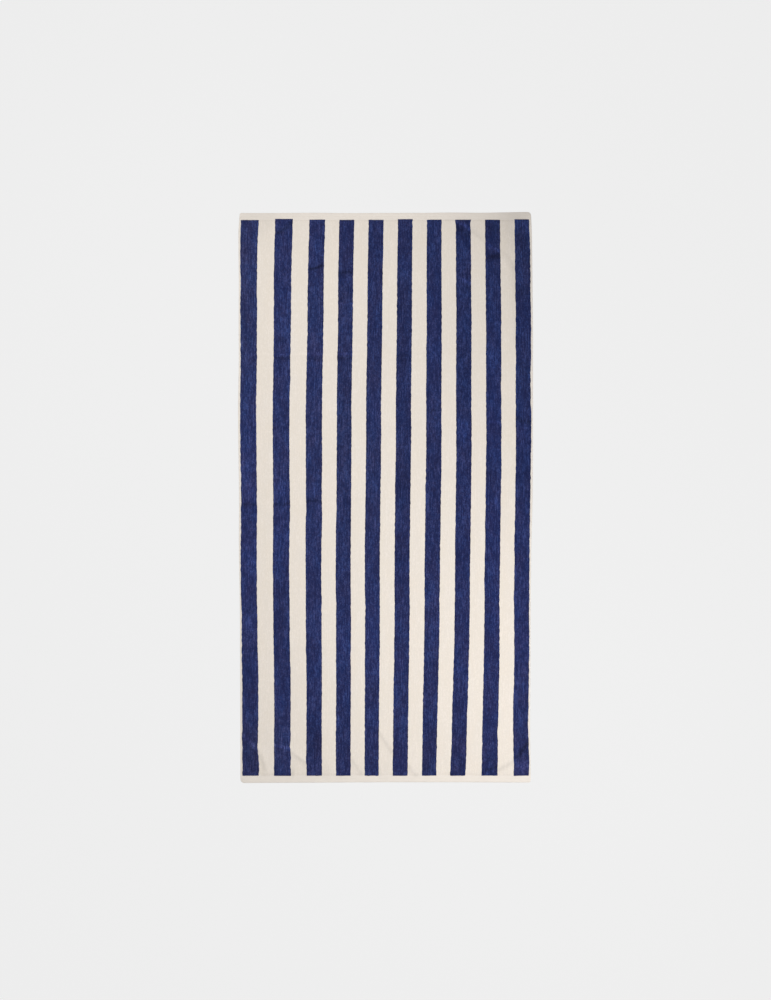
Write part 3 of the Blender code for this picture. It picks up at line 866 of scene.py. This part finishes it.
# the hems, turned under twice
hems = {
    # section of an end hem: distance in from the edge and height, over the face and back under it
    "end": [
        (0.025, 0.0018), (0.0222, 0.002), (0.018, 0.00204), (0.015, 0.00208), (0.0138, 0.00222),
        (0.013, 0.00238), (0.0122, 0.0024), (0.0114, 0.00218), (0.0106, 0.0024), (0.008, 0.00247),
        (0.005, 0.00248), (0.0025, 0.0024), (0.0012, 0.00216), (0.0004, 0.00172), (0, 0.0012),
        (0.0004, 0.00066), (0.0012, 0.00022), (0.0025, 0.00003), (0.006, 0), (0.0125, 0.00002),
        (0.0132, 0.0003), (0.0136, 0.001), (0.015, 0.00118), (0.025, 0.00125),
    ],
    # section of a side hem, drawn for a hem of this width and stretched to the real one
    "sideWidth": 0.0065,
    "side": [
        (0.0085, 0.0018), (0.0066, 0.002), (0.0061, 0.0024), (0.0055, 0.00258), (0.0048, 0.00256),
        (0.0043, 0.00238), (0.0038, 0.00258), (0.0026, 0.00268), (0.0015, 0.00262), (0.0007, 0.00236),
        (0.0002, 0.0019), (0, 0.00135), (0.0002, 0.00078), (0.0007, 0.00032), (0.0015, 0.00006),
        (0.003, 0), (0.0055, 0.00002), (0.006, 0.00035), (0.0063, 0.001), (0.0085, 0.00125),
    ],
    # heights between a section's face and its underside
    "endMiddle": 0.0012,
    "sideMiddle": 0.00135,
    "endRound": 0.0010,
    "endWall": 0.45,
    "cornerPlace": 0.006,     # how far in from an end its corners are measured
    "step": 0.0045,
    "sideFringe": (0.0, 0.002),
    "sideUnder": 0.012,       # how far the side hems stop short of the ends, inside the end hems
    "pucker": 0.00007,
    "endPuckers": (0.006, 0.02),
    "sidePuckers": (0.02, 0.006),
    "endSeed": 60.0,
    "sideSeed": 64.0,
    "endRuns": 3,
    "sideRuns": 8,
    "endFringe": (0.0, 0.0003, 0.0008, 0.0016, 0.0027, 0.0042, 0.0062, 0.0088, 0.0120, 0.0160),
}


def cornerDrop(distance, radius):
    # how far the outline is drawn in at a distance from a corner's side
    inside = np.clip(radius - distance, 0, radius)
    return radius - np.sqrt(radius**2 - inside**2)


def laidHem(x, y, height, middle, puckerSize, seed):
    # above the middle a hem follows the cloth's face, and below it the back
    face = height > middle
    lift = np.where(face, groundRise(x, y), backRise(x, y))
    pucker = hems["pucker"] * unevenness(x, y, puckerSize, seed) * face
    return np.stack([x, y, height + lift + pucker], axis=-1)


def endHemStrip(end):
    # end is -1 for the foot and 1 for the head
    corners = outline["headCorners"] if end > 0 else outline["footCorners"]
    left, right = sideEdges(end * (outline["length"] / 2 - hems["cornerPlace"]))
    x = stations(left, right, hems["step"], hems["endFringe"])
    drop = cornerDrop(x - left, corners[0]) + cornerDrop(right - x, corners[1])
    inward, height = np.array(hems["end"]).T
    y = (endEdges(x)[end > 0] - end * drop)[:, None] - end * inward
    x = np.broadcast_to(x[:, None], y.shape)
    flat = rounded(np.minimum(x - left, right - x), hems["endRound"], hems["endWall"])
    height = hems["endMiddle"] + (height - hems["endMiddle"]) * flat
    return laidHem(x, y, height, hems["endMiddle"], hems["endPuckers"], hems["endSeed"] + end)


def sideHemBounds(side, y):
    # x of a side hem's outer edge, and of the pile beside it
    outermost = (9, 1) if side > 0 else (0, 0)
    return sideEdges(y)[side > 0], stripeEdge(*outermost, y)


def sideHemStrip(side):
    # side is -1 for the left and 1 for the right
    half = outline["length"] / 2 - hems["sideUnder"]
    y = stations(-half, half, hems["step"], hems["sideFringe"])
    edge, inner = sideHemBounds(side, y)
    stretch = (edge - inner) / (side * hems["sideWidth"])
    inward, height = np.array(hems["side"]).T
    x = edge[:, None] - side * stretch[:, None] * inward
    y = np.broadcast_to(y[:, None], x.shape)
    return laidHem(x, y, height, hems["sideMiddle"], hems["sidePuckers"], hems["sideSeed"] + side)


endHems = clothPiece(
    "endHems", [(endHemStrip(1), 0), (endHemStrip(-1), 0)], [finishes["hem"]], hems["endRuns"], "cream")
sideHems = clothPiece(
    "sideHems", [(sideHemStrip(-1), 0), (sideHemStrip(1), 0)], [finishes["hem"]], hems["sideRuns"], "cream")
print("hems folded")


# the back, with loops in the colours the other way round
back = {
    "cell": 0.0055,
    "fringe": (0.0, 0.0006, 0.0020),
    "end": 0.8500,
    "wall": 0.35,
    "round": 0.0020,
    "clumps": 0.00012,
    "clumpSize": (0.010, 0.012),
    "stripeSeed": 70.0,
    "gapSeed": 90.0,
    "pieces": 3,
    "runs": 3,
}


def backStrip(left, right, seed):
    y = stations(-back["end"], back["end"], back["cell"], back["fringe"])[:, None]
    x, depth = betweenEdges(left, right, y, back["cell"], back["fringe"])
    share = rounded(depth, back["round"], back["wall"])
    share = share * rounded(back["end"] - abs(y), back["round"], back["wall"])
    root = layers["backRoot"] + groundRise(x, y)
    low = backRise(x, y) + back["clumps"] * (1 + unevenness(x, y, back["clumpSize"], seed)) / 2
    return closedAtRoot(x, y, root + (low - root) * share, root)


def backPieces():
    # cream loops under each navy stripe, and navy ones between
    strips = []
    for stripe in range(len(stripes["navy"])):
        if stripe:
            gap = backStrip((stripe - 1, 1), (stripe, 0), back["gapSeed"] + stripe - 1)
            strips.append((gap, 0))
        strips.append((backStrip((stripe, 0), (stripe, 1), back["stripeSeed"] + stripe), 1))
    pieces = []
    for number, part in enumerate(np.array_split(np.arange(len(strips)), back["pieces"])):
        chosen = [strips[k] for k in part]
        piece = clothPiece(
            f"backLoops{number + 1}", chosen, [finishes["navyLoops"], finishes["creamLoops"]], back["runs"],
            hiddenLast=True)
        pieces.append(piece)
    return pieces


backLoops = backPieces()
print("back:", len(backLoops), "pieces of loops")


# the stitches along the hems
stitching = {
    "pitch": 0.0041,
    "length": 0.0033,
    "radius": 0.00028,
    "sides": 6,
    # from one end of a stitch to the other: place along it, thickness and rise
    "profile": [
        (-1, 0.35, -0.9), (-0.72, 0.85, 0.2), (0, 1, 0.55), (0.72, 0.85, 0.2), (1, 0.35, -0.9),
    ],
    # how far in from an edge a row lies, how high, and how far before the corners it stops
    "endIn": 0.0114,
    "endHeight": 0.00222,
    "endMargin": 0.010,
    "sideIn": 0.0043,
    "sideHeight": 0.00242,
    "sideMargin": 0.016,
}


def stitchShape(direction):
    # one stitch along the direction, about its own middle: rings of points
    turn = np.linspace(0, 2 * math.pi, stitching["sides"], endpoint=False)
    ahead = np.array([direction[0], direction[1], 0.0])
    sideways = np.array([-direction[1], direction[0], 0.0])
    up = np.array([0.0, 0.0, 1.0])
    rings = []
    for along, thick, rise in stitching["profile"]:
        middle = ahead * along * stitching["length"] / 2 + up * rise * stitching["radius"]
        circle = np.outer(np.cos(turn), sideways) + np.outer(np.sin(turn), up)
        rings.append(middle + stitching["radius"] * thick * circle)
    return np.array(rings)


def stitchRow(x, y, height, direction):
    places = np.stack([x, y, height + groundRise(x, y)], axis=-1)
    return places[:, None, None, :] + stitchShape(direction)[None]


def hemStitches():
    stitches = []
    for end in (-1, 1):
        reach = outline["width"] / 2 - stitching["endMargin"]
        x = np.arange(-reach, reach, stitching["pitch"])
        y = endEdges(x)[end > 0] - end * stitching["endIn"]
        stitches.append(stitchRow(x, y, stitching["endHeight"], (1.0, 0.0)))
    for side in (-1, 1):
        reach = outline["length"] / 2 - stitching["sideMargin"]
        y = np.arange(-reach, reach, stitching["pitch"])
        edge, inner = sideHemBounds(side, y)
        x = edge - stitching["sideIn"] * (edge - inner) / hems["sideWidth"]
        stitches.append(stitchRow(x, y, stitching["sideHeight"], (0.0, 1.0)))
    points = np.concatenate(stitches)
    count, rows, sides = points.shape[:3]
    faces = []
    for number in range(count):
        faces += facesAround(rows, sides, number * rows * sides)
    piece = newPiece("hemStitches", points.reshape(-1, 3), faces, [finishes["thread"]])
    smoothOutside(piece.data)
    return piece


stitches = hemStitches()
print("hems stitched")


# floor and light
studio = {
    "floorSize": 60.0,
    "floorColour": (0.04, 0.04, 0.04, 1),
    "floorGlow": 0.825,
    "floorGap": 0.0002,
    "dome": 0.40,
    "boxes": [
        dict(name="keyBox", place=(0.75, -0.70, 1.50), aim=(-0.30, -0.77, 0.0), size=0.8, power=16.1),
        dict(name="fillBox", place=(-0.75, 0.98, 1.50), aim=(0.50, -0.40, 0.0), size=0.8, power=14.1),
    ],
}

view = {
    "lens": 100.0,
    "sensor": 36.0,
    "frameHeight": 3.065,     # metres of floor from the top to the bottom of the picture
    "middle": (-0.0003, -0.0075),
}


def studioFloor():
    half = studio["floorSize"] / 2
    corners = [(-half, -half, 0.0), (half, -half, 0.0), (half, half, 0.0), (-half, half, 0.0)]
    paper = Finish("studio_paper", {
        "Base Color": studio["floorColour"],
        "Roughness": 1.0,
        "Specular IOR Level": 0.0,
        "Emission Color": (1, 1, 1, 1),
        "Emission Strength": studio["floorGlow"],
    })
    floor = newPiece("floor", np.array(corners), [(0, 1, 2, 3)], [paper.material])
    floor.location.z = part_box("towel")[0].z - studio["floorGap"]
    return floor


def softBox(box):
    light = bpy.data.lights.new(box["name"], "AREA")
    light.energy = box["power"]
    light.size = box["size"]
    lamp = bpy.data.objects.new(box["name"], light)
    lamp.location = box["place"]
    toAim = Vector(box["aim"]) - Vector(box["place"])
    lamp.rotation_euler = toAim.to_track_quat("-Z", "Y").to_euler()
    lamp.visible_camera = False
    scene.collection.objects.link(lamp)


def dome():
    world = bpy.data.worlds.new("dome")
    world.use_nodes = True
    sky = world.node_tree.nodes["Background"]
    sky.inputs["Color"].default_value = (1, 1, 1, 1)
    sky.inputs["Strength"].default_value = studio["dome"]
    scene.world = world


def overheadCamera():
    lens = bpy.data.cameras.new("overhead")
    lens.lens = view["lens"]
    lens.sensor_width = view["sensor"]
    camera = bpy.data.objects.new("overhead", lens)
    camera.location = (*view["middle"], view["frameHeight"] * view["lens"] / view["sensor"])
    scene.collection.objects.link(camera)
    scene.camera = camera


floor = studioFloor()
dome()
for box in studio["boxes"]:
    softBox(box)
overheadCamera()
print("studio lit")


# all pieces go with the towel's body, and the imported towel is hidden
rest = face + backLoops + [endHems, sideHems, stitches]
for piece in [groundCloth, *rest]:
    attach(piece, "root")
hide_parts("towel")

print("pieces:", len(rest) + 1)
